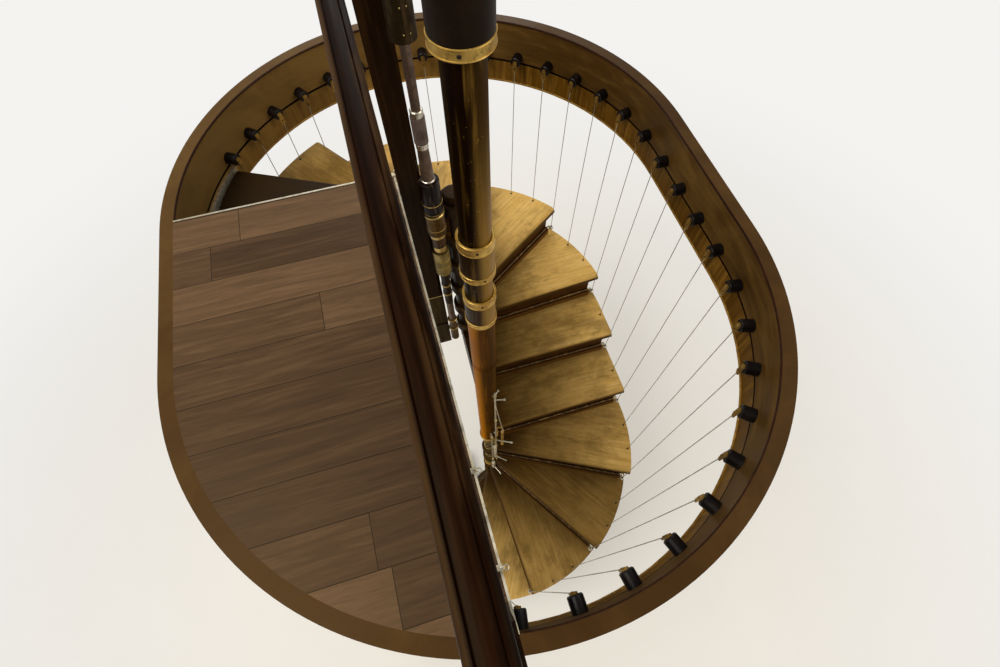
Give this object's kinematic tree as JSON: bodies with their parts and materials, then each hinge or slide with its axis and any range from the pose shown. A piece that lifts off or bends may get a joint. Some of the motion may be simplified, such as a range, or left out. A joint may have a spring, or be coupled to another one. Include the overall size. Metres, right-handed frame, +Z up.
{
  "type": "spiral staircase",
  "caption": "Winding plank staircase in a round-ended well, hung on taut wires from the band of the floor above, with a jointed turned column, landing and handrail.",
  "frame": {"origin": "on the lower floor, at the centre of the near column's foot plate, on its flat underside", "axes": "+Z up, +X towards the side of the well with the level treads, +Y from the near column towards the far column"},
  "size_m": [1.772, 2.276, 4.095],
  "materials": {
    "tread_wood": "dark oiled hardwood, worn golden on the walking line",
    "dark_boards": "dark stained boards, satin",
    "band_wood": "dark stained and varnished wood, satin",
    "black_peg": "black turned hardwood, polished",
    "brass": "aged brass, half polished",
    "steel_wire": "drawn wire",
    "dark_metal": "dark cast metal with worn edges",
    "amber_varnish": "amber varnish, gloss",
    "rosewood": "dark red-brown hardwood, polished",
    "sleeve_leather": "dark waxed leather",
    "pale_metal": "pale nickel plate, worn",
    "black_drum": "black lacquer with a purple tone, satin",
    "pewter": "dull grey plate",
    "olive_bronze": "olive bronze, dull",
    "olive_board": "olive brown stained board, satin",
    "rail_wood": "dark polished hardwood"
  },
  "bodies": {
    "root": {"tread_01": "tread_wood", "tread_02": "tread_wood", "tread_03": "tread_wood", "tread_04": "tread_wood", "tread_05": "tread_wood", "tread_06": "tread_wood", "tread_07": "tread_wood", "tread_08": "tread_wood", "tread_09": "tread_wood", "tread_10": "tread_wood", "tread_11": "tread_wood", "tread_12": "tread_wood", "tread_13": "tread_wood", "tread_14": "tread_wood", "tread_15": "tread_wood", "risers": "dark_boards", "tread_bars": "pale_metal", "inner_string": "dark_boards", "bottom_block": "dark_boards", "band_near_right": "band_wood", "band_near_left": "band_wood", "band_far_right": "band_wood", "band_far_left": "band_wood", "band_sides": "band_wood", "wire_pegs": "black_peg", "wire_ends": "brass", "wires": "steel_wire", "column_base": "dark_metal", "column_neck": "dark_metal", "column_amber": "amber_varnish", "column_collars": "rosewood", "column_tubes": "rosewood", "column_rings": "brass", "column_sleeve": "sleeve_leather", "keywork": "pale_metal", "far_newel": "rosewood", "far_tubes": "pewter", "far_barrels": "black_drum", "far_rings": "pale_metal", "far_sleeves": "olive_bronze", "newel_board": "olive_board", "landing_deck": "dark_boards", "landing_beam": "band_wood", "edge_strips": "pale_metal", "handrail": "rail_wood", "balusters": "rail_wood"}
  },
  "joints": []
}
